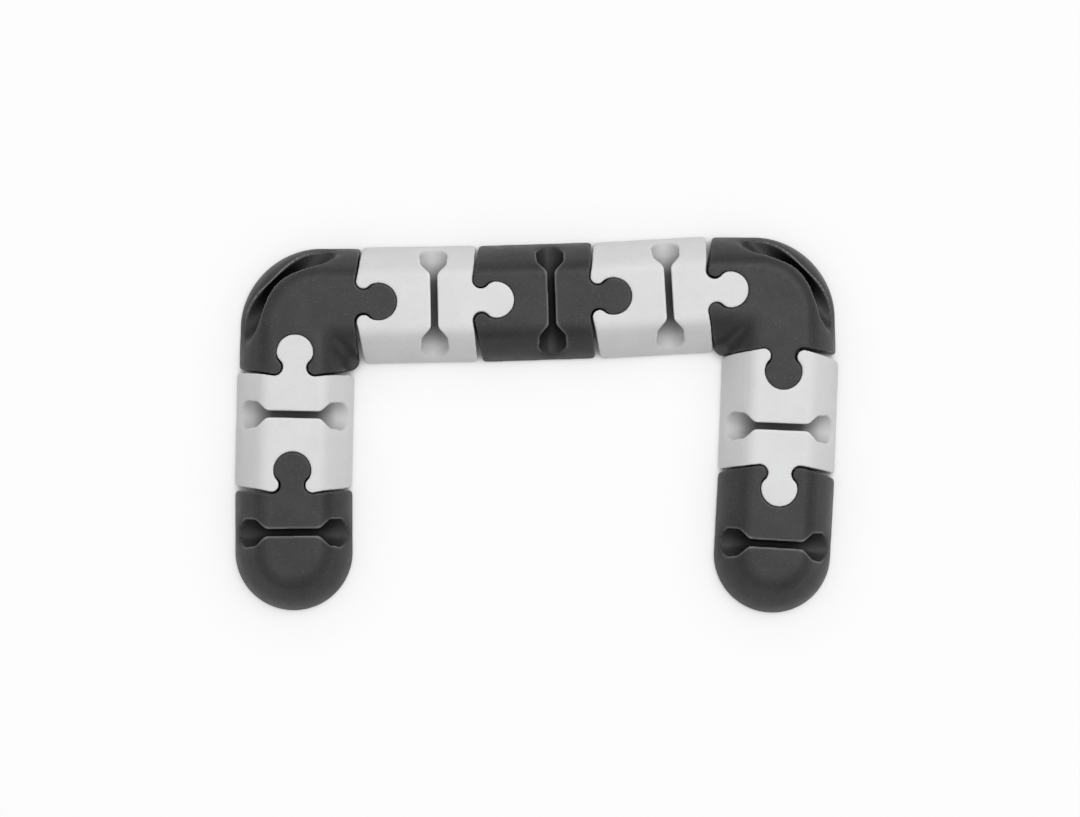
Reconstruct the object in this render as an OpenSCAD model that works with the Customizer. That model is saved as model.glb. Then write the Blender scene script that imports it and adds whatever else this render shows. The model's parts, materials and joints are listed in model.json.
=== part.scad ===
// Cable spine: soft rubber modules that lock together like jigsaw pieces and lie flat on a desk.
// Every module has a knob, a socket or both. The knob drops into the next socket from above and
// swivels there a little. A channel crosses each module and opens upwards through a narrow slot,
// so that a cable is pushed in from the top. All sizes are in millimetres, +Z is up.

/* [Moulding] */
// Distance between the two swivel centres of a straight link
pitch = 24; // [23:0.5:36]
// Width of links and end caps at the base
body_w = 24; // [23:0.5:30]
// Height of the moulding, without its pad
body_h = 9.4; // [9:0.1:12]
// Height of the upright edge at the foot of the flanks
edge_h = 0.4; // [0.2:0.1:1]
// Angle between a flank and the desk
flank_tilt = 60; // [57:1:70]
// Radius that blends a flank into the flat top
crown_r = 3.6; // [2:0.1:4]
// Radius of the upright corners where a face meets a side
face_corner_r = 0.9; // [0.5:0.1:1.5]

/* [Swivel joint] */
// Radius of the knob's round head
knob_r = 3.72; // [3.4:0.02:4.2]
// Running clearance between the knob's head and its socket
head_gap = 0.12; // [0.08:0.01:0.18]
// Width of the neck where it is narrowest
neck_w = 4.7; // [4.2:0.1:5.4]
// Radius of the concave fillets beside the neck
neck_fillet_r = 1.8; // [1.6:0.05:2.2]
// Clearance between the neck and the rounded lips of the socket
lip_gap = 0.36; // [0.34:0.01:0.42]
// How far the head and the fillet circles would run into each other without their blend
blend_depth = 0.4; // [0.35:0.01:0.5]
// Radius that blends the head into the neck
cheek_r = 2.2; // [1.8:0.1:2.6]
// Slope of the face on the knob's side, forward towards its outer corners
knob_face_slope = 8.3; // [6:0.1:10]
// Largest swivel to either side, which also opens the faces by this angle
swivel_max = 3.5; // [2.5:0.1:3.6]

/* [Cable channel] */
// Diameter of the channel
bore_d = 5.6; // [4.6:0.1:6.2]
// Height of the channel's axis above the foot of a link or end cap
bore_z = 5.4; // [5:0.1:6]
// Distance from the socket's centre to the channel
bore_at = 11.4; // [10.8:0.1:12.4]
// Width of the slot above the channel
slot_w = 1.45; // [1:0.05:2.2]
// Distance from the flat top's edge to the point where the slot starts to widen
flare_start = 0.8; // [0.3:0.1:1.4]
// Radius at the start of the widening
flare_r = 1.5; // [0.8:0.1:2]

/* [Corner module] */
// How far a corner module's sides stay inside those of its neighbours
corner_inset = 0.4; // [0:0.05:0.8]
// Radius of the big outer corner
corner_r = 17.1; // [15:0.1:19]
// Radius of the low toe between the two arms at the inner corner
toe_r = 2.2; // [1:0.1:3]
// Height of that toe
toe_h = 2; // [1:0.1:4]
// Distance from the side of the neighbours to the lips of the corner's socket
corner_lip_ahead = 3.1; // [2.6:0.1:4]
// Height of the channel's axis above the foot of a corner module
corner_bore_z = 4.9; // [4.6:0.1:5.4]
// Width of the gap that the channel leaves open in the outer flank
corner_gap_w = 2.1; // [1.4:0.1:2.8]

/* [End caps] */
// Distance from the channel to the centre of the round end on the cap with a knob
tail_end_back = 3.7; // [2:0.1:6]
// Distance from the channel to the centre of the round end on the cap with a socket
head_end_ahead = 1.85; // [1:0.1:6]

/* [Adhesive pad] */
// Thickness of a pad
pad_t = 0.8; // [0.6:0.1:1.5]
// How far a pad stands out below its moulding
pad_proud = 0.3; // [0.2:0.05:0.5]
// Gap around a pad in its recess
pad_gap = 0.2; // [0.1:0.05:0.4]
// Distance from the side of the moulding to the recess
pad_side = 2.2; // [1.8:0.1:4]
// Distance from the socket and from the knob's face to the recess
pad_end = 1.5; // [1.2:0.1:3]
// Corner radius of a pad
pad_corner_r = 1.5; // [0.8:0.1:2.5]

/* [Layout at rest] */
// Direction of the chain at its first end cap, measured from +X
first_heading = 90.4; // [88:0.1:92]
// Swivel of the first joint, next to the end cap with a knob
swivel_1 = -1.5; // [-2.5:0.1:2.5]
// Swivel of the second joint
swivel_2 = 0.4; // [-2.5:0.1:2.5]
// Swivel of the third joint
swivel_3 = 1.7; // [-2.5:0.1:2.5]
// Swivel of the fourth joint
swivel_4 = 0.9; // [-2.5:0.1:2.5]
// Swivel of the fifth joint
swivel_5 = 1.4; // [-2.5:0.1:2.5]
// Swivel of the sixth joint
swivel_6 = -2.7; // [-2.8:0.1:2.5]
// Swivel of the seventh joint
swivel_7 = -3; // [-3:0.1:2.5]
// Swivel of the eighth joint, next to the end cap with a socket
swivel_8 = -1; // [-2.5:0.1:2.5]

/* [Colours] */
// Colour of the dark modules
dark = "#474747";
// Colour of the pale modules
pale = "#d9d9d9";
// Colour of the pads
pad_colour = "#e8e6e0";

/* [Hidden] */
$fn = 96;

// Overshoot of cutters past the faces that they cut
over = 1;
// How far a rounding reaches past both of its ends, and how much larger its radius is drawn, so that
// it overlaps the straight pieces beside it and does not merely touch them
reach_past = 10;
grow_by = 0.002;
half_w = body_w / 2;
bore_r = bore_d / 2;

// Swivel joint, seen from above with the swivel centre at the origin and the chain running along +X
socket_r = knob_r + head_gap;
lip_r = neck_fillet_r - lip_gap;
lip_side = neck_w / 2 + neck_fillet_r;
lip_back = sqrt(pow(knob_r + neck_fillet_r - blend_depth, 2) - pow(lip_side, 2));
lip_centre = [-lip_back, lip_side];
root_reach = lip_back + neck_fillet_r;
lip_reach = lip_back + lip_r;
socket_face_slope = knob_face_slope + swivel_max;

// Corner module, seen from above with the crossing of its two arms at the origin
corner_half = half_w - corner_inset;
corner_in = half_w + corner_lip_ahead - lip_reach;
corner_out = half_w + root_reach;
arc_at = corner_half - corner_r;
corner_reach = arc_at * sqrt(2) + corner_r;

// Distance from the crossing to the corner's channel, which leaves the stated gap in the outer flank
flank_offset = sin(flank_tilt) * corner_reach + cos(flank_tilt) * edge_h;
bore_to_flank = sqrt(pow(bore_r, 2) - pow(corner_gap_w / 2, 2));
corner_bore_at = (flank_offset - bore_to_flank - cos(flank_tilt) * corner_bore_z) / sin(flank_tilt);

// Centres of the two round ends, in the frame of a link that starts at its socket
tail_end_x = bore_at - tail_end_back;
head_end_x = bore_at + head_end_ahead;

pad_recess = pad_t - pad_proud;

function dir(angle) = [cos(angle), sin(angle)];
function angle_of(v) = atan2(v[1], v[0]);
function flip(p) = [p[0], -p[1]];
function turned(p, angle) = [
    p[0] * cos(angle) - p[1] * sin(angle),
    p[0] * sin(angle) + p[1] * cos(angle)];
function backwards(list) = [for (i = [len(list) - 1 : -1 : 0]) list[i]];

// Half-width of the flat top of a moulding whose base has this half-width
function flat_half(half) =
    half - (body_h - edge_h) / tan(flank_tilt) - crown_r * tan(flank_tilt / 2);

// Centre of the blend between a round head and a round lip or fillet beside the neck
function cheek_angle(head, lip) =
    let (p = head - cheek_r, s = lip + cheek_r, d = norm(lip_centre))
    angle_of(lip_centre) - acos((p * p + d * d - s * s) / (2 * p * d));
function cheek_centre(head, lip) = (head - cheek_r) * dir(cheek_angle(head, lip));

// Centre of the rounded corner between a sloping face and the side, for a face through point p.
// side is +1 where the moulding lies ahead of the face and -1 where it lies behind it.
function face_corner(p, slope, half, side) = [
    p[0] + ((half - face_corner_r - p[1]) * sin(slope) + side * face_corner_r) / cos(slope),
    half - face_corner_r];

// Upper half of the outline at a socket, from the side inwards to the swivel centre
function socket_half_outline(half) =
    let (
        touch = lip_centre + lip_r * [-cos(socket_face_slope), sin(socket_face_slope)],
        c = face_corner(touch, socket_face_slope, half, 1))
    [
        [c[0], half],
        c,
        c + face_corner_r * [-cos(socket_face_slope), sin(socket_face_slope)],
        touch,
        lip_centre,
        cheek_centre(socket_r, lip_r),
        [0, 0]];

// Upper half of the outline at a knob, from the side inwards to the swivel centre
function knob_half_outline(half) =
    let (
        touch = lip_centre + neck_fillet_r * [-cos(knob_face_slope), sin(knob_face_slope)],
        c = face_corner(touch, knob_face_slope, half, -1))
    [
        [c[0], half],
        c,
        c + face_corner_r * [cos(knob_face_slope), -sin(knob_face_slope)],
        touch,
        lip_centre,
        cheek_centre(knob_r, neck_fillet_r),
        [0, 0]];

function socket_outline(half) =
    let (h = socket_half_outline(half))
    concat(h, [for (i = [len(h) - 2 : -1 : 0]) flip(h[i])]);
function knob_outline(half) =
    let (h = knob_half_outline(half))
    concat([for (i = [0 : len(h) - 2]) flip(h[i])], backwards(h));

// Centre of the toe's rounding, which touches the socket's face and the knob's face of a corner module
toe_socket_way = dir(180 + socket_face_slope);
toe_knob_way = dir(knob_face_slope - 90);
toe_centre =
    let (
        from_socket = toe_socket_way * (flip(socket_half_outline(corner_half)[3]) - [corner_in, 0]) - toe_r,
        from_knob = toe_knob_way
            * turned(flip(knob_half_outline(corner_half)[3]) + [corner_out, 0], -90) - toe_r,
        cross = toe_socket_way[0] * toe_knob_way[1] - toe_socket_way[1] * toe_knob_way[0])
    [
        (from_socket * toe_knob_way[1] - from_knob * toe_socket_way[1]) / cross,
        (from_knob * toe_socket_way[0] - from_socket * toe_knob_way[0]) / cross];

// Rounding: the part of a disc between two angles, at most 180 degrees apart, and a little beyond them
module sector(centre, radius, from, to, grow = grow_by) {
    first = from - reach_past;
    stride = (to + reach_past - first) / 3;
    apex = centre - radius / 10 * dir((from + to) / 2);
    intersection() {
        translate(centre)
            circle(radius + grow);
        polygon(concat([apex], [for (i = [0 : 3]) apex + 2 * radius * dir(first + stride * i)]));
    }
}

// The same sector on both sides of the chain's axis
module sector_pair(centre, radius, from, to) {
    sector(centre, radius, from, to);
    sector(flip(centre), radius, -to, -from);
}

// Round head up to its blends
module head_disc(head, lip) {
    turn = cheek_angle(head, lip) + reach_past / 10;
    intersection() {
        circle(head);
        polygon(2 * head * [[0, 0], dir(-turn), [1, -1], [1, 1], dir(turn)]);
    }
}

// The two blends that lead from the head into the neck
module head_cheeks(head, lip) {
    centre = cheek_centre(head, lip);
    sector_pair(centre, cheek_r, cheek_angle(head, lip), angle_of(lip_centre - centre));
}

// Rounded lips of a socket, which its straight outline leaves out
module socket_lips(half) {
    sector_pair(
        lip_centre, lip_r, 180 - socket_face_slope,
        360 + angle_of(socket_half_outline(half)[5] - lip_centre));
}

// Concave fillets beside the neck
module neck_fillets() {
    sector_pair(
        lip_centre, neck_fillet_r, 180 - knob_face_slope,
        360 + angle_of(cheek_centre(knob_r, neck_fillet_r) - lip_centre));
}

// Outline around a round end, which stays clear of it from the channel onwards.
// way is +1 for an end on the +X side and -1 for one on the -X side.
function clear_outline(way) = [
    for (p = [[0, -1, 0], [1, -1, 1], [2 * body_w, -1, 1], [2 * body_w, 1, 1], [1, 1, 1], [0, 1, 0]])
        [bore_at + way * p[0], way * p[1] * (half_w + p[2] * over)]];

// Outline of a straight module from above
module straight_plan(has_socket, has_knob) {
    start = has_socket ? socket_outline(half_w) : clear_outline(-1);
    end = has_knob ? [for (p = knob_outline(half_w)) p + [pitch, 0]] : clear_outline(1);
    difference() {
        union() {
            polygon(concat(start, end));
            if (has_socket) {
                socket_lips(half_w);
                sector_pair(start[1], face_corner_r, 90, 180 - socket_face_slope);
            }
            if (has_knob)
                translate([pitch, 0]) {
                    sector_pair(knob_half_outline(half_w)[1], face_corner_r, -knob_face_slope, 90);
                    head_disc(knob_r, neck_fillet_r);
                    head_cheeks(knob_r, neck_fillet_r);
                }
        }
        if (has_socket)
            head_disc(socket_r, lip_r);
        if (has_socket)
            head_cheeks(socket_r, lip_r);
        if (has_knob)
            translate([pitch, 0])
                neck_fillets();
    }
}

// Outline of a corner module from above, with its socket on -X and its knob on -Y
module corner_plan() {
    socket_side = socket_half_outline(corner_half);
    knob_side = knob_half_outline(corner_half);
    difference() {
        union() {
            polygon(concat(
                [for (p = socket_side) p - [corner_in, 0]],
                [for (i = [5, 4, 3]) flip(socket_side[i]) - [corner_in, 0]],
                [toe_centre + toe_r * toe_socket_way, toe_centre, toe_centre + toe_r * toe_knob_way],
                [for (i = [3, 4, 5]) turned(flip(knob_side[i]) + [corner_out, 0], -90)],
                [for (p = backwards(knob_side)) turned(p + [corner_out, 0], -90)],
                [[corner_half, corner_half]]));
            sector(toe_centre, toe_r, 180 + socket_face_slope, 270 + knob_face_slope);
            translate([-corner_in, 0]) {
                socket_lips(corner_half);
                sector(socket_side[1], face_corner_r, 90, 180 - socket_face_slope);
            }
            rotate(-90)
                translate([corner_out, 0]) {
                    sector(knob_side[1], face_corner_r, -knob_face_slope, 90);
                    head_disc(knob_r, neck_fillet_r);
                    head_cheeks(knob_r, neck_fillet_r);
                }
        }
        translate([-corner_in, 0])
            head_disc(socket_r, lip_r);
        translate([-corner_in, 0])
            head_cheeks(socket_r, lip_r);
        rotate(-90)
            translate([corner_out, 0])
                neck_fillets();
    }
}

// Centre of the crown's arc, set outwards by a hair so that the arc crosses the flank and meets the flat top
function crown_centre(half) = [flat_half(half) + grow_by, body_h - crown_r];

// One side of the cross-section from its foot to its top: upright edge, sloping flank, crown, flat top
function flank_points(half) =
    let (crown = crown_centre(half), flank_end = [flat_half(half), crown[1]] + crown_r * dir(90 - flank_tilt))
    [[half, 0], [half, edge_h], flank_end, crown, [crown[0], body_h]];

// Cross-section between an upright line and the flank on its right
module flank_profile(half, from) {
    polygon(concat([[from, 0]], flank_points(half), [[from, body_h]]));
    sector(crown_centre(half), crown_r, 90 - flank_tilt, 90, 0);
}

// Full cross-section, extruded along +X from the origin
module bar(length) {
    right = flank_points(half_w);
    crown = crown_centre(half_w);
    rotate([90, 0, 90])
        linear_extrude(length) {
            polygon(concat(right, backwards([for (p = right) [-p[0], p[1]]])));
            sector(crown, crown_r, 90 - flank_tilt, 90, 0);
            sector([-crown[0], crown[1]], crown_r, 90, 90 + flank_tilt, 0);
        }
}

// Round end of a cap, on the +X side of its centre
module round_end() {
    rotate(-90)
        rotate_extrude(angle = 180)
            flank_profile(half_w, 0);
}

// Bar with one flank, which faces +Y, and an upright back, extruded along X between two places
module side_bar(from, to, half, back) {
    translate([from, 0, 0])
        rotate([90, 0, 90])
            linear_extrude(to - from)
                flank_profile(half, back);
}

// Everything inside the outer flanks and the big round corner of a corner module.
// Its three pieces share one profile about the centre of that round corner.
module corner_outside() {
    far = corner_out + knob_r + over - arc_at;
    translate([arc_at, arc_at, 0]) {
        rotate_extrude(angle = 90)
            flank_profile(corner_r, 0);
        side_bar(-far, 0, corner_r, -far);
        rotate(-90)
            side_bar(0, far, corner_r, 0);
    }
}

// Everything beyond the inner flanks of a corner module, which meet in a mitre, with the toe between them
module corner_inside() {
    far = corner_out + knob_r + 2 * over;
    toe_side = (toe_h - edge_h) / tan(flank_tilt) - corner_half + edge_h;
    rotate(180)
        side_bar(-far, far, corner_half, -far);
    rotate(90)
        side_bar(-far, far, corner_half, -far);
    linear_extrude(toe_h)
        polygon([[-far, -far], [toe_side, -far], [toe_side, toe_side], [-far, toe_side]]);
}

module channel() {
    translate([bore_at, 0, bore_z])
        rotate([90, 0, 0])
            cylinder(h = body_w + 2 * over, r = bore_r, center = true);
}

// Slot above the channel, widening at both ends to nearly the channel's width
module slot() {
    waist = slot_w / 2;
    start = flat_half(half_w) + flare_start;
    mouth = bore_r - 0.1;
    bend = flare_r * tan(22.5);
    centre = [waist + flare_r, start - bend];
    quarter = [
        [waist, start - bend],
        centre,
        [waist, start] + bend * dir(45),
        [mouth, start + mouth - waist],
        [mouth, half_w + over]];
    translate([bore_at, 0, bore_z])
        linear_extrude(body_h)
            difference() {
                polygon(concat(
                    quarter,
                    backwards([for (p = quarter) [-p[0], p[1]]]),
                    [for (p = quarter) -p],
                    backwards([for (p = quarter) flip(p)])));
                sector_pair(centre, flare_r, 135, 180);
                sector_pair([-centre[0], centre[1]], flare_r, 0, 45);
            }
}

module corner_channel() {
    rotate(45)
        translate([corner_bore_at, 0, corner_bore_z])
            rotate([90, 0, 0])
                cylinder(h = 3 * corner_r, r = bore_r, center = true);
}

// Rectangle between two x values with rounded corners on the sides that ask for them
module pad_block(x_from, x_to, side, round_start, round_end, r) {
    start = round_start ? [[x_from, side - r], [x_from + r, side - r], [x_from + r, side]] : [[x_from, side]];
    end = round_end ? [[x_to - r, side], [x_to - r, side - r], [x_to, side - r]] : [[x_to, side]];
    upper = concat(start, end);
    polygon(concat(backwards(upper), [for (p = upper) flip(p)]));
    if (round_start)
        sector_pair([x_from + r, side - r], r, 90, 180);
    if (round_end)
        sector_pair([x_to - r, side - r], r, 0, 90);
}

// Outline of a straight module's pad, grown on all sides for its recess
module straight_pad_plan(has_socket, has_knob, grow) {
    side = half_w - pad_side - pad_gap + grow;
    from = has_socket ? socket_r + pad_end + pad_gap - grow : tail_end_x;
    to = has_knob ? pitch - root_reach - pad_end - pad_gap + grow : head_end_x;
    pad_block(from, to, side, has_socket, has_knob, pad_corner_r + grow);
    if (!has_socket)
        sector([tail_end_x, 0], side, 90, 270);
    if (!has_knob)
        sector([head_end_x, 0], side, -90, 90);
}

// Outline of a corner module's pad, grown on all sides for its recess
module corner_pad_plan(grow) {
    side = corner_half - pad_side - pad_gap + grow;
    start = -corner_in + socket_r + pad_end + pad_gap - grow;
    foot = -half_w + pad_end + pad_gap - grow;
    r = pad_corner_r + grow;
    intersection() {
        union() {
            polygon([
                [start, side], [start, foot + r], [start + r, foot + r], [start + r, foot],
                [side - r, foot], [side - r, foot + r], [side, foot + r], [side, side]]);
            sector([start + r, foot + r], r, 180, 270);
            sector([side - r, foot + r], r, 270, 360);
        }
        translate([arc_at, arc_at])
            circle(corner_r - pad_side - pad_gap + grow);
    }
}

module straight_module(has_socket, has_knob) {
    from = has_socket ? -lip_reach - over : tail_end_x;
    to = has_knob ? pitch + knob_r + over : head_end_x;
    difference() {
        intersection() {
            union() {
                // A bar starts at the round end that it joins
                translate([has_knob ? from : to, 0, 0])
                    rotate(has_knob ? 0 : 180)
                        bar(to - from);
                if (!has_knob)
                    translate([head_end_x, 0, 0])
                        round_end();
                if (!has_socket)
                    translate([tail_end_x, 0, 0])
                        rotate(180)
                            round_end();
            }
            translate([0, 0, -over])
                linear_extrude(body_h + 2 * over)
                    straight_plan(has_socket, has_knob);
        }
        union() {
            channel();
            slot();
        }
        translate([0, 0, -over])
            linear_extrude(pad_recess + over)
                straight_pad_plan(has_socket, has_knob, pad_gap);
    }
}

// Corner module with its socket's centre at the origin, so that it is placed like a link
module corner_module() {
    translate([corner_in, 0, 0])
        difference() {
            intersection() {
                corner_outside();
                corner_inside();
                translate([0, 0, -over])
                    linear_extrude(body_h + 2 * over)
                        corner_plan();
            }
            corner_channel();
            translate([0, 0, -over])
                linear_extrude(pad_recess + over)
                    corner_pad_plan(pad_gap);
        }
}

// The chain: what each module adds between its socket and its knob, and how it turns the chain
is_corner = [false, false, true, false, false, false, true, false, false];
swivels = [swivel_1, swivel_2, swivel_3, swivel_4, swivel_5, swivel_6, swivel_7, swivel_8];

function exit_turn(k) = is_corner[k] ? -90 : 0;
function step(k) = is_corner[k] ? [corner_in, -corner_out] : [pitch, 0];
function heading(k) = k == 0 ? first_heading : heading(k - 1) + exit_turn(k - 1) + swivels[k - 1];
function start_of(k) = k == 0 ? [0, 0] : start_of(k - 1) + turned(step(k - 1), heading(k - 1));
function on_desk(k, p) = start_of(k) + turned(p, heading(k));

// Discs that bound each module from above, as [centre x, centre y, radius], in its own frame
function face_discs(outline, shift) = [
    for (i = [1, len(outline) - 2]) [outline[i][0] + shift, outline[i][1], face_corner_r]];
function straight_discs(k) = concat(
    k == 0 ? [[tail_end_x, 0, half_w]] : face_discs(socket_outline(half_w), 0),
    k == 8 ? [[head_end_x, 0, half_w]] : face_discs(knob_outline(half_w), pitch));
function corner_discs() = concat(
    face_discs(socket_outline(corner_half), 0),
    [for (d = face_discs(knob_outline(corner_half), corner_out))
        concat(turned([d[0], d[1]], -90) + [corner_in, 0], [d[2]])],
    [for (a = [0 : 3 : 90])
        concat([corner_in, 0] + [arc_at, arc_at] + corner_r * dir(a), [0])]);
discs = [
    for (k = [0 : 8])
        for (d = is_corner[k] ? corner_discs() : straight_discs(k))
            concat(on_desk(k, [d[0], d[1]]), [d[2]])];
desk_low = [min([for (d = discs) d[0] - d[2]]), min([for (d = discs) d[1] - d[2]])];
desk_high = [max([for (d = discs) d[0] + d[2]]), max([for (d = discs) d[1] + d[2]])];
desk_centre = (desk_low + desk_high) / 2;

// Puts a module's own frame at its place in the chain, with the whole chain centred on the origin
module place(k) {
    translate(concat(start_of(k) - desk_centre, [0]))
        rotate(heading(k))
            children();
}

module place_moulding(k) {
    place(k)
        translate([0, 0, pad_proud])
            children();
}

module straight_pad(k) {
    color(pad_colour)
        place(k)
            linear_extrude(pad_t)
                straight_pad_plan(k != 0, k != 8, 0);
}

module corner_pad(k) {
    color(pad_colour)
        place(k)
            translate([corner_in, 0, 0])
                linear_extrude(pad_t)
                    corner_pad_plan(0);
}

module left_end_cap() {
    color(dark)
        place_moulding(0)
            straight_module(false, true);
}

module left_leg_link() {
    color(pale)
        place_moulding(1)
            straight_module(true, true);
}

module left_corner() {
    color(dark)
        place_moulding(2)
            corner_module();
}

module left_top_link() {
    color(pale)
        place_moulding(3)
            straight_module(true, true);
}

module middle_link() {
    color(dark)
        place_moulding(4)
            straight_module(true, true);
}

module right_top_link() {
    color(pale)
        place_moulding(5)
            straight_module(true, true);
}

module right_corner() {
    color(dark)
        place_moulding(6)
            corner_module();
}

module right_leg_link() {
    color(pale)
        place_moulding(7)
            straight_module(true, true);
}

module right_end_cap() {
    color(dark)
        place_moulding(8)
            straight_module(true, false);
}

module left_end_cap_pad() straight_pad(0);
module left_leg_link_pad() straight_pad(1);
module left_corner_pad() corner_pad(2);
module left_top_link_pad() straight_pad(3);
module middle_link_pad() straight_pad(4);
module right_top_link_pad() straight_pad(5);
module right_corner_pad() corner_pad(6);
module right_leg_link_pad() straight_pad(7);
module right_end_cap_pad() straight_pad(8);

left_end_cap();
left_leg_link();
left_corner();
left_top_link();
middle_link();
right_top_link();
right_corner();
right_leg_link();
right_end_cap();
left_end_cap_pad();
left_leg_link_pad();
left_corner_pad();
left_top_link_pad();
middle_link_pad();
right_top_link_pad();
right_corner_pad();
right_leg_link_pad();
right_end_cap_pad();
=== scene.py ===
import json
import math

import bpy
import numpy as np
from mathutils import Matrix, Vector


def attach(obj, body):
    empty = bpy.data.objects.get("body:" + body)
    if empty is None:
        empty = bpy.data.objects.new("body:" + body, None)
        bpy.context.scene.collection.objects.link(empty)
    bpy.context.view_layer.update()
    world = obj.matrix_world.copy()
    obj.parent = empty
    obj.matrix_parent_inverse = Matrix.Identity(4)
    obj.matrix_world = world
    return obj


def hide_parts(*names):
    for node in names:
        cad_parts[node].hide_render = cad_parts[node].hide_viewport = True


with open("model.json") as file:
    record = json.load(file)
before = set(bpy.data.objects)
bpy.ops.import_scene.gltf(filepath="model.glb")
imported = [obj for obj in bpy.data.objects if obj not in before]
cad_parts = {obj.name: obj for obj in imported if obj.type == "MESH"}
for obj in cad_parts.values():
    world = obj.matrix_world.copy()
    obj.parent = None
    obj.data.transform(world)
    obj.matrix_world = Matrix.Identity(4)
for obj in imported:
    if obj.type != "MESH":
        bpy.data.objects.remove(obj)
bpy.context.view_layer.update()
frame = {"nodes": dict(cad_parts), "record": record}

MM = 0.001

# Keeps a division away from zero
TINY = 1e-12

# The camera stands above the lower left of the chain, at the photograph's angle.
CAMERA_SPOT = (-21.2 * MM, -44.8 * MM, 783.4 * MM)
CAMERA_TURN = (math.radians(3.51), math.radians(-1.586), math.radians(-0.046))
CAMERA_LENS = 126.9
CAMERA_SENSOR = 36.0
CAMERA_NEAR = 0.01
CAMERA_FAR = 20.0

# Moulded rubber has no sharp edge: the solids are remeshed this fine and then eased.
VOXEL = 0.24 * MM
EASING_STEPS = 3
EASING_SHARE = 0.5

# The flanks swell outwards between their foot and the crown.
FLANK_FOOT = 0.5 * MM
FLANK_TOP = 8.6 * MM
FLANK_SWELL = 0.80 * MM

# A flank is where the normal's rise lies between these two and the surface bends less, in 1/m.
FLANK_TILT_LEAST = 0.40
FLANK_TILT_MOST = 0.60
FLANK_BEND_MOST = 200.0

# The swell's direction is passed on from the flanks over the mesh, and fades out far from them.
SWELL_STEPS = 120
SWELL_FADE = 0.06

# Inside a corner the two flanks run into each other in a soft valley. It lies between these two
# distances from the channel's axis, and its easing is full in the middle of its width.
VALLEY_FROM = 9.0 * MM
VALLEY_TO = 21.0 * MM
VALLEY_HALF_WIDTH = 4.0 * MM
VALLEY_FALL = 1.3
VALLEY_STEPS = 90

# Adhesive pads keep a small rounded edge.
PAD_BEVEL = 0.12 * MM
PAD_BEVEL_STEPS = 3
PAD_EDGE_ANGLE = math.radians(40.0)

# Curvature of an edge that gets the painted highlight, in 1/m: it starts to show at the first and
# is full at the second.
EDGE_FROM = 450.0
EDGE_TO = 1500.0

# Lips this near the channel's wall get the painted highlight in full, and other edges only this
# share of it.
LIP_REACH = 1.8 * MM
EDGE_LEAST = 0.15

# The curvature is evened out over a few steps of the mesh, and the lips are then eased.
LIP_SPREAD = 2
LIP_STEPS = 10

# The channel's wall gets painted shade, darkest in the middle and clearing towards its two mouths.
CHANNEL_MARGIN = 0.30 * MM
CHANNEL_DEEP = 4.5 * MM
CHANNEL_MOUTH = 9.5 * MM
CHANNEL_LEAST = 0.22

DARK = (0.036, 0.0363, 0.037, 1.0)
DARK_WORN = (0.047, 0.0473, 0.048, 1.0)
# Painted highlight on lips and sharp edges
DARK_PAINTED_HIGHLIGHT = (0.240, 0.240, 0.242, 1.0)
# Painted shade on the channel's wall
DARK_PAINTED_CHANNEL_SHADE = (0.006, 0.006, 0.006, 1.0)
DARK_DUST = (0.075, 0.075, 0.076, 1.0)
DARK_LINT = (0.15, 0.15, 0.15, 1.0)
PALE = (0.718, 0.720, 0.722, 1.0)
PALE_SOILED = (0.684, 0.684, 0.682, 1.0)
# Painted highlight on lips and sharp edges
PALE_PAINTED_HIGHLIGHT = (0.860, 0.860, 0.860, 1.0)
# Painted shade on the channel's wall
PALE_PAINTED_CHANNEL_SHADE = (0.130, 0.130, 0.130, 1.0)
PALE_DUST = (0.640, 0.638, 0.634, 1.0)
PALE_LINT = (0.42, 0.415, 0.41, 1.0)
PAD_FACE = (0.80, 0.79, 0.75, 1.0)
PAD_FLECK = (0.66, 0.65, 0.61, 1.0)
FLOOR = (0.80, 0.80, 0.80, 1.0)
FLOOR_MOTTLED = (0.78, 0.78, 0.78, 1.0)
WHITE = (1.0, 1.0, 1.0, 1.0)

DARK_COLOURS = (DARK, DARK_WORN, DARK_PAINTED_HIGHLIGHT, DARK_PAINTED_CHANNEL_SHADE, DARK_DUST, DARK_LINT)
PALE_COLOURS = (PALE, PALE_SOILED, PALE_PAINTED_HIGHLIGHT, PALE_PAINTED_CHANNEL_SHADE, PALE_DUST, PALE_LINT)

# Finish of a rubber: roughness, refraction, and a speck's reach as a share of its cell
DARK_FINISH = (0.38, 1.29, 0.030)
PALE_FINISH = (0.44, 1.43, 0.028)

# Noise: scale in 1/m, detail and roughness
CLOUDS = (160.0, 4.0, 0.60)
PATCHES = (210.0, 2.0, 0.50)
POWDER = (2400.0, 2.0, 0.55)
SMEARS = (420.0, 5.0, 0.65)
WAVES = (110.0, 1.0, 0.40)
GRAIN = (5200.0, 3.0, 0.60)
FIBRES = (2600.0, 4.0, 0.70)
MOTTLE = (30.0, 3.0, 0.50)

# The noise's value where its effect starts and where it is full
CLOUDS_SHOW = (0.35, 0.68)
PATCHES_SHOW = (0.48, 0.62)
POWDER_SHOWS = (0.60, 0.74)
FIBRES_SHOW = (0.42, 0.66)
MIDDLE_RANGE = (0.3, 0.7)

# Specks and lint lie in this many cells to a metre. A speck is full within its core, and lint is
# drawn out along Y and reaches less far across.
SPECK_CELLS = 640.0
SPECK_CORE = 0.6
LINT_CELLS = 420.0
LINT_STRETCH = (1.0, 0.28, 1.0)
LINT_REACH_SHARE = 0.7

# Bumps: height in metres and strength
WAVE_BUMP = (0.08 * MM, 0.6)
GRAIN_BUMP = (0.02 * MM, 0.55)
FIBRE_BUMP = (0.02 * MM, 0.5)

# Handling marks make the rubber this much smoother or rougher.
SMEAR_SMOOTHER = 0.06
SMEAR_ROUGHER = 0.08

# The pad's film: fibres along Y, its range of roughness and its thin gloss
FIBRE_STRETCH = (1.0, 0.5, 1.0)
FILM_ROUGHNESS = (0.36, 0.52)
FILM_COAT = 0.15

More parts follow.
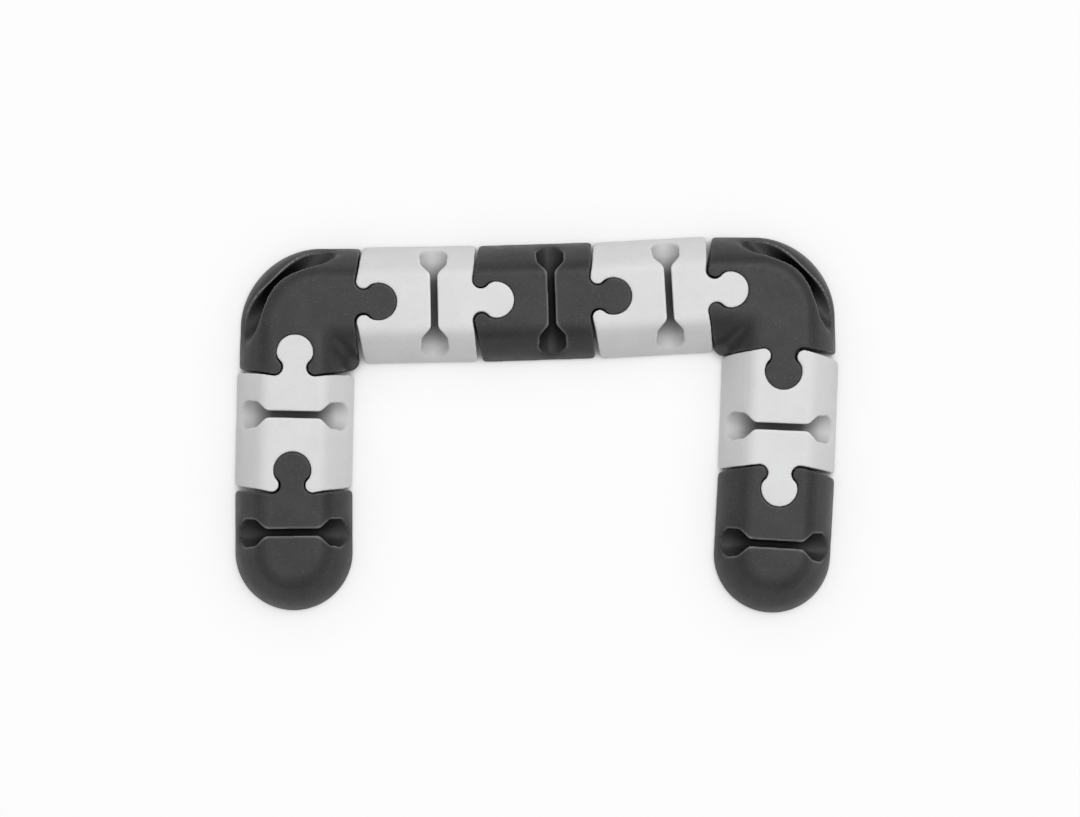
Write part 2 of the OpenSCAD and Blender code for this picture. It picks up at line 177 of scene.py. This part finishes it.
# The floor lies a hair below the pads, so that no two faces share a plane.
FLOOR_REACH = 3.0
FLOOR_LEVEL = -0.02 * MM
FLOOR_CORNERS = ((-1, -1), (1, -1), (1, 1), (-1, 1))
FLOOR_ROUGHNESS = 0.75
FLOOR_SPECULAR = 0.25

# Share of plain white in what the camera and reflections see of the floor. It goes to nothing
# where things this near shut the sky out, so that the gaps between modules stay dark.
FLOOR_WHITE = 0.92
SHADE_REACH = 12.0 * MM
SHADE_SAMPLES = 8
SHADE_SHOWS = (0.25, 1.0)

# Brightness of the room at the horizon and straight above
HORIZON = 0.10
ZENITH = 0.80

# Lamps: name, place and width in metres, and power in watts
LAMPS = (
    ("window", (0.38, 0.52, 1.15), 0.8, 5.5),
    ("ceiling", (0.0, 0.1, 1.5), 1.8, 5.5),
)

DARK_MODULES = (
    "left_end_cap",
    "left_corner",
    "middle_link",
    "right_corner",
    "right_end_cap",
)
PALE_MODULES = (
    "left_leg_link",
    "left_top_link",
    "right_top_link",
    "right_leg_link",
)


def new_material(name):
    """A material with its shader, ready for more nodes."""
    material = bpy.data.materials.new(name)
    material.use_nodes = True
    nodes = material.node_tree.nodes
    return material, nodes, material.node_tree.links, nodes["Principled BSDF"]


def object_place(nodes, links, stretch=(1.0, 1.0, 1.0)):
    """Places on the object itself, so that a pattern moves with the piece."""
    place = nodes.new("ShaderNodeTexCoord")
    mapping = nodes.new("ShaderNodeMapping")
    mapping.inputs["Scale"].default_value = stretch
    links.new(place.outputs["Object"], mapping.inputs["Vector"])
    return mapping.outputs["Vector"]


def noise(nodes, links, place, pattern):
    """Cloudy noise of one of the patterns above."""
    scale, detail, roughness = pattern
    texture = nodes.new("ShaderNodeTexNoise")
    texture.inputs["Scale"].default_value = scale
    texture.inputs["Detail"].default_value = detail
    texture.inputs["Roughness"].default_value = roughness
    links.new(place, texture.inputs["Vector"])
    return texture.outputs["Fac"]


def specks(nodes, links, place, cells, reach):
    """Small round spots: 1 inside a spot and 0 outside."""
    texture = nodes.new("ShaderNodeTexVoronoi")
    texture.inputs["Scale"].default_value = cells
    links.new(place, texture.inputs["Vector"])
    return spread(nodes, links, texture.outputs["Distance"], reach, reach * SPECK_CORE)


def spread(nodes, links, value, low, high, to_low=0.0, to_high=1.0):
    """The value's range from low to high becomes to_low to to_high."""
    node = nodes.new("ShaderNodeMapRange")
    node.inputs["From Min"].default_value = low
    node.inputs["From Max"].default_value = high
    node.inputs["To Min"].default_value = to_low
    node.inputs["To Max"].default_value = to_high
    links.new(value, node.inputs["Value"])
    return node.outputs["Result"]


def combined(nodes, links, operation, first, second):
    """Two values as one, by a Math node's operation."""
    node = nodes.new("ShaderNodeMath")
    node.operation = operation
    links.new(first, node.inputs[0])
    links.new(second, node.inputs[1])
    return node.outputs["Value"]


def mix_colours(nodes, links, share, first, second):
    """first where share is 0 and second where it is 1. A colour is a value or a socket."""
    node = nodes.new("ShaderNodeMix")
    node.data_type = "RGBA"
    links.new(share, node.inputs["Factor"])
    for colour, name in ((first, "A"), (second, "B")):
        socket = [s for s in node.inputs if s.name == name and s.type == "RGBA"][0]
        if isinstance(colour, bpy.types.NodeSocket):
            links.new(colour, socket)
        else:
            socket.default_value = colour
    return [s for s in node.outputs if s.type == "RGBA"][0]


def bump(nodes, links, height, size, below=None):
    """A bump of that height in metres and strength, over another bump where one is given."""
    node = nodes.new("ShaderNodeBump")
    node.inputs["Distance"].default_value, node.inputs["Strength"].default_value = size
    links.new(height, node.inputs["Height"])
    if below is not None:
        links.new(below, node.inputs["Normal"])
    return node.outputs["Normal"]


def mark(nodes, name):
    """A share from 0 to 1 that the mesh carries at its points."""
    node = nodes.new("ShaderNodeAttribute")
    node.attribute_name = name
    return node.outputs["Fac"]


def rubber(name, colours, finish):
    """Soft moulded rubber: a fine matt grain, slow waves, a painted highlight on lips and edges,
    painted shade on the channel's wall, handling marks and lint.
    """
    colour, worn, edge, channel, dust, lint = colours
    roughness, refraction, speck_reach = finish
    material, nodes, links, shader = new_material(name)
    place = object_place(nodes, links)
    cloud = spread(nodes, links, noise(nodes, links, place, CLOUDS), *CLOUDS_SHOW)
    patches = spread(nodes, links, noise(nodes, links, place, PATCHES), *PATCHES_SHOW)
    powder = spread(nodes, links, noise(nodes, links, place, POWDER), *POWDER_SHOWS)
    dots = specks(nodes, links, place, SPECK_CELLS, speck_reach)
    lint_place = object_place(nodes, links, LINT_STRETCH)
    hairs = specks(nodes, links, lint_place, LINT_CELLS, speck_reach * LINT_REACH_SHARE)

    tint = mix_colours(nodes, links, cloud, colour, worn)
    tint = mix_colours(nodes, links, powder, tint, dust)
    tint = mix_colours(nodes, links, combined(nodes, links, "MULTIPLY", dots, patches), tint, lint)
    tint = mix_colours(nodes, links, hairs, tint, lint)
    # Painted highlight on lips and sharp edges, by the edge mark
    tint = mix_colours(nodes, links, mark(nodes, "edge"), tint, edge)
    # Painted shade on the channel's wall, by the channel mark
    tint = mix_colours(nodes, links, mark(nodes, "channel"), tint, channel)
    links.new(tint, shader.inputs["Base Color"])

    smear = noise(nodes, links, place, SMEARS)
    least = roughness - SMEAR_SMOOTHER
    most = roughness + SMEAR_ROUGHER
    handled = spread(nodes, links, smear, *MIDDLE_RANGE, least, most)
    links.new(handled, shader.inputs["Roughness"])

    waved = bump(nodes, links, noise(nodes, links, place, WAVES), WAVE_BUMP)
    grained = bump(nodes, links, noise(nodes, links, place, GRAIN), GRAIN_BUMP, waved)
    links.new(grained, shader.inputs["Normal"])
    shader.inputs["IOR"].default_value = refraction
    return material


def pad_film(name):
    """The release film on an adhesive pad: paper fibres under a faint gloss."""
    material, nodes, links, shader = new_material(name)
    place = object_place(nodes, links, FIBRE_STRETCH)
    fibres = noise(nodes, links, place, FIBRES)
    share = spread(nodes, links, fibres, *FIBRES_SHOW)
    links.new(mix_colours(nodes, links, share, PAD_FACE, PAD_FLECK), shader.inputs["Base Color"])
    rough = spread(nodes, links, fibres, *MIDDLE_RANGE, *FILM_ROUGHNESS)
    links.new(rough, shader.inputs["Roughness"])
    links.new(bump(nodes, links, fibres, FIBRE_BUMP), shader.inputs["Normal"])
    shader.inputs["Coat Weight"].default_value = FILM_COAT
    return material


def table_top(name):
    """The plain pale surface under the part, with a faint mottle."""
    material, nodes, links, shader = new_material(name)
    place = object_place(nodes, links)
    mottle = spread(nodes, links, noise(nodes, links, place, MOTTLE), *MIDDLE_RANGE)
    tint = mix_colours(nodes, links, mottle, FLOOR, FLOOR_MOTTLED)
    links.new(tint, shader.inputs["Base Color"])
    shader.inputs["Roughness"].default_value = FLOOR_ROUGHNESS
    shader.inputs["Specular IOR Level"].default_value = FLOOR_SPECULAR

    glow = nodes.new("ShaderNodeEmission")
    glow.inputs["Color"].default_value = WHITE
    glow.inputs["Strength"].default_value = 1.0
    ray = nodes.new("ShaderNodeLightPath")
    seen = ray.outputs["Is Camera Ray"]
    for kind in ("Is Glossy Ray", "Is Transmission Ray"):
        seen = combined(nodes, links, "MAXIMUM", seen, ray.outputs[kind])
    open_sky = nodes.new("ShaderNodeAmbientOcclusion")
    open_sky.inputs["Distance"].default_value = SHADE_REACH
    open_sky.samples = SHADE_SAMPLES
    share = spread(nodes, links, open_sky.outputs["AO"], *SHADE_SHOWS, 0.0, FLOOR_WHITE)
    both = nodes.new("ShaderNodeMixShader")
    links.new(combined(nodes, links, "MULTIPLY", seen, share), both.inputs["Fac"])
    links.new(shader.outputs["BSDF"], both.inputs[1])
    links.new(glow.outputs["Emission"], both.inputs[2])
    links.new(both.outputs["Shader"], nodes["Material Output"].inputs["Surface"])
    return material


def copy_of(node_object, name):
    """A new object with a copy of a CAD node's mesh."""
    mesh = node_object.data.copy()
    mesh.materials.clear()
    piece = bpy.data.objects.new(name, mesh)
    bpy.context.scene.collection.objects.link(piece)
    return piece


def apply_modifiers(piece):
    """The piece's modifiers become its mesh."""
    bpy.context.view_layer.update()
    graph = bpy.context.evaluated_depsgraph_get()
    finished = bpy.data.meshes.new_from_object(piece.evaluated_get(graph))
    piece.modifiers.clear()
    piece.data = finished


def apply_smooth(piece, name, steps, group=""):
    """Smooths a piece, or only as far as its vertex group says."""
    easing = piece.modifiers.new(name, "SMOOTH")
    easing.factor = EASING_SHARE
    easing.iterations = steps
    easing.vertex_group = group
    apply_modifiers(piece)


def places_of(mesh):
    """Where the mesh's points are."""
    places = np.empty(len(mesh.vertices) * 3)
    mesh.vertices.foreach_get("co", places)
    return places.reshape(-1, 3)


def normals_of(mesh):
    """The normals at the mesh's points."""
    normals = np.empty(len(mesh.vertices) * 3, dtype=np.float32)
    mesh.vertex_normals.foreach_get("vector", normals)
    return normals.reshape(-1, 3).astype(float)


def edges_of(mesh):
    """The first and the second point of each edge."""
    pairs = np.empty(len(mesh.edges) * 2, dtype=np.int32)
    mesh.edges.foreach_get("vertices", pairs)
    return pairs.reshape(-1, 2).T


def keep_mark(mesh, name, values):
    """Stores one share for each point of the mesh."""
    layer = mesh.attributes.new(name, "FLOAT", "POINT")
    layer.data.foreach_set("value", np.clip(values, 0.0, 1.0).astype(np.float32))


def along_channel(places, mount):
    """How far along a channel's axis each place is, from its middle."""
    return (places - np.array(mount["pos_m"])) @ np.array(mount["axis"])


def beyond_wall(places, mount):
    """How far outside a channel's wall each place is."""
    sideways = along_channel(places, mount)[:, None] * np.array(mount["axis"])
    away = places - np.array(mount["pos_m"]) - sideways
    return np.linalg.norm(away, axis=1) - mount["dims"]["r_mm"] * MM


def sum_at_ends(first, second, at_first, at_second, count):
    """What the edges bring to each point: one value at their first end and one at their second."""
    return np.bincount(first, at_first, count) + np.bincount(second, at_second, count)


def curvature(mesh):
    """How tightly the surface curves outwards at each point, in 1/m."""
    places = places_of(mesh)
    normals = normals_of(mesh)
    first, second = edges_of(mesh)
    step = places[second] - places[first]
    turn = normals[second] - normals[first]
    curve = (step * turn).sum(1) / np.maximum((step * step).sum(1), TINY)
    total = sum_at_ends(first, second, curve, curve, len(places))
    joined = sum_at_ends(first, second, None, None, len(places))
    return total / np.maximum(joined, 1)


def passed_on(mesh, values, steps):
    """The values at the mesh's points, averaged with their neighbours' this many times."""
    first, second = edges_of(mesh)
    joined = np.maximum(sum_at_ends(first, second, None, None, len(values)), 1)
    for step in range(steps):
        around = sum_at_ends(first, second, values[second], values[first], len(values))
        values = 0.5 * values + 0.5 * around / joined
    return values


def swell_flanks(mesh, mount, valley):
    """Moves the flanks outwards by up to FLANK_SWELL, but not where the valley's share is 1."""
    places = places_of(mesh)
    normals = normals_of(mesh)
    flank = (
        (normals[:, 2] > FLANK_TILT_LEAST)
        & (normals[:, 2] < FLANK_TILT_MOST)
        & (places[:, 2] > FLANK_FOOT)
        & (beyond_wall(places, mount) > LIP_REACH)
        & (np.abs(curvature(mesh)) < FLANK_BEND_MOST)
    ).astype(float)
    level = normals[:, :2] / np.maximum(np.linalg.norm(normals[:, :2], axis=1), TINY)[:, None]
    outward = [passed_on(mesh, level[:, part] * flank, SWELL_STEPS) for part in range(2)]
    share = (1.0 - valley) / (passed_on(mesh, flank, SWELL_STEPS) + SWELL_FADE)
    rise = np.clip((places[:, 2] - FLANK_FOOT) / (FLANK_TOP - FLANK_FOOT), 0.0, 1.0)
    swell = FLANK_SWELL * np.sin(math.pi * rise) * share
    places[:, :2] += np.column_stack(outward) * swell[:, None]
    mesh.vertices.foreach_set("co", places.ravel())
    mesh.update()


def valley_share(mesh, mount):
    """Where the flanks of a corner's two arms meet at its inner corner."""
    places = places_of(mesh)
    middle = np.array(mount["pos_m"])[:2]
    axis = np.array(mount["axis"])[:2]
    inward = np.array([axis[1], -axis[0]])
    if inward @ (places[:, :2].mean(0) - middle) < 0.0:
        inward = -inward
    away = places[:, :2] - middle
    depth = away @ inward
    across = np.abs(away @ axis)
    share = np.clip(VALLEY_FALL * (1.0 - across / VALLEY_HALF_WIDTH), 0.0, 1.0)
    return share * ((depth > VALLEY_FROM) & (depth < VALLEY_TO) & (places[:, 2] > FLANK_FOOT))


def lip_share(mesh, mount):
    """Where a flank or the top turns down into the channel or its slot, and other bent edges less:
    the share of painted highlight, also used to ease the lips.
    """
    near = 1.0 - (beyond_wall(places_of(mesh), mount) - LIP_REACH) / LIP_REACH
    bend = (passed_on(mesh, curvature(mesh), LIP_SPREAD) - EDGE_FROM) / (EDGE_TO - EDGE_FROM)
    return np.clip(near, EDGE_LEAST, 1.0) * np.clip(bend, 0.0, 1.0)


def painted_shade_share(mesh, mount):
    """Where painted shade falls on the wall of the cable channel, most in its middle."""
    places = places_of(mesh)
    near = 1.0 - beyond_wall(places, mount) / CHANNEL_MARGIN
    along = np.abs(along_channel(places, mount))
    deep = (CHANNEL_MOUTH - along) / (CHANNEL_MOUTH - CHANNEL_DEEP)
    return np.clip(near, 0.0, 1.0) * np.clip(deep, CHANNEL_LEAST, 1.0)


def ease(piece, share, steps):
    """Smooths a piece where its share is above 0, and more where it is larger."""
    group = piece.vertex_groups.new(name="eased")
    for index in np.nonzero(share > 0.0)[0]:
        group.add([int(index)], float(share[index]), "REPLACE")
    apply_smooth(piece, "local_easing", steps, group.name)
    piece.vertex_groups.clear()


def moulded(node, material):
    """A rubber module: its solid with every edge eased as it leaves a mould."""
    piece = copy_of(frame["nodes"][node], node + "_rubber")
    remesh = piece.modifiers.new("even_faces", "REMESH")
    remesh.mode = "VOXEL"
    remesh.voxel_size = VOXEL
    remesh.use_smooth_shade = True
    apply_smooth(piece, "eased_edges", EASING_STEPS)
    mount = channels[node + "_channel"]
    in_corner = "corner" in node
    valley = valley_share(piece.data, mount) * in_corner
    swell_flanks(piece.data, mount, valley)
    if in_corner:
        ease(piece, valley, VALLEY_STEPS)
    ease(piece, lip_share(piece.data, mount) - EDGE_LEAST, LIP_STEPS)
    # Share of painted highlight on lips and sharp edges
    keep_mark(piece.data, "edge", lip_share(piece.data, mount))
    # Share of painted shade on the channel's wall
    keep_mark(piece.data, "channel", painted_shade_share(piece.data, mount))
    piece.data.materials.append(material)
    return piece


def adhesive(node, material):
    """A foam pad with a small rounded edge."""
    piece = copy_of(frame["nodes"][node], node + "_film")
    bevel = piece.modifiers.new("rounded_edge", "BEVEL")
    bevel.width = PAD_BEVEL
    bevel.segments = PAD_BEVEL_STEPS
    bevel.limit_method = "ANGLE"
    bevel.angle_limit = PAD_EDGE_ANGLE
    apply_modifiers(piece)
    piece.data.materials.append(material)
    return piece


def body_of(node):
    """The body that a node belongs to."""
    for body, members in frame["record"]["behaviour"]["bodies"].items():
        if node in members:
            return body
    raise ValueError(node)


def softbox(name, spot, width, power):
    """A square area lamp that looks at the middle of the part."""
    data = bpy.data.lights.new(name, "AREA")
    data.shape = "SQUARE"
    data.size = width
    data.energy = power
    lamp = bpy.data.objects.new(name, data)
    lamp.location = spot
    lamp.rotation_euler = Vector(spot).to_track_quat("Z", "Y").to_euler()
    bpy.context.scene.collection.objects.link(lamp)


scene = bpy.context.scene
scene.view_settings.view_transform = "Standard"

camera_data = bpy.data.cameras.new("camera")
camera_data.lens = CAMERA_LENS
camera_data.sensor_width = CAMERA_SENSOR
camera_data.sensor_fit = "HORIZONTAL"
camera_data.clip_start = CAMERA_NEAR
camera_data.clip_end = CAMERA_FAR
camera = bpy.data.objects.new("camera", camera_data)
camera.location = CAMERA_SPOT
camera.rotation_euler = CAMERA_TURN
scene.collection.objects.link(camera)
scene.camera = camera

world = bpy.data.worlds.new("soft_room")
world.use_nodes = True
world_nodes = world.node_tree.nodes
world_links = world.node_tree.links
direction = world_nodes.new("ShaderNodeTexCoord")
height = world_nodes.new("ShaderNodeSeparateXYZ")
world_links.new(direction.outputs["Generated"], height.inputs["Vector"])
level = spread(world_nodes, world_links, height.outputs["Z"], 0.0, 1.0, HORIZON, ZENITH)
world_nodes["Background"].inputs["Color"].default_value = WHITE
world_links.new(level, world_nodes["Background"].inputs["Strength"])
scene.world = world

for lamp in LAMPS:
    softbox(*lamp)

floor_mesh = bpy.data.meshes.new("floor")
floor_points = [(x * FLOOR_REACH, y * FLOOR_REACH, FLOOR_LEVEL) for x, y in FLOOR_CORNERS]
floor_mesh.from_pydata(floor_points, [], [(0, 1, 2, 3)])
floor_mesh.materials.append(table_top("table_top"))
floor = bpy.data.objects.new("floor", floor_mesh)
scene.collection.objects.link(floor)

channels = {mount["name"]: mount for mount in frame["record"]["mounts"]}
dark_rubber = rubber("dark_silicone", DARK_COLOURS, DARK_FINISH)
pale_rubber = rubber("pale_silicone", PALE_COLOURS, PALE_FINISH)
film = pad_film("release_film")

for names, material, slot_name in (
    (DARK_MODULES, dark_rubber, "dark_rubber"),
    (PALE_MODULES, pale_rubber, "pale_rubber"),
):
    for name in names:
        module = moulded(name, material)
        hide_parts(name)
        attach(module, body_of(name))
        pad = adhesive(name + "_pad", film)
        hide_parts(name + "_pad")
        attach(pad, body_of(name + "_pad"))
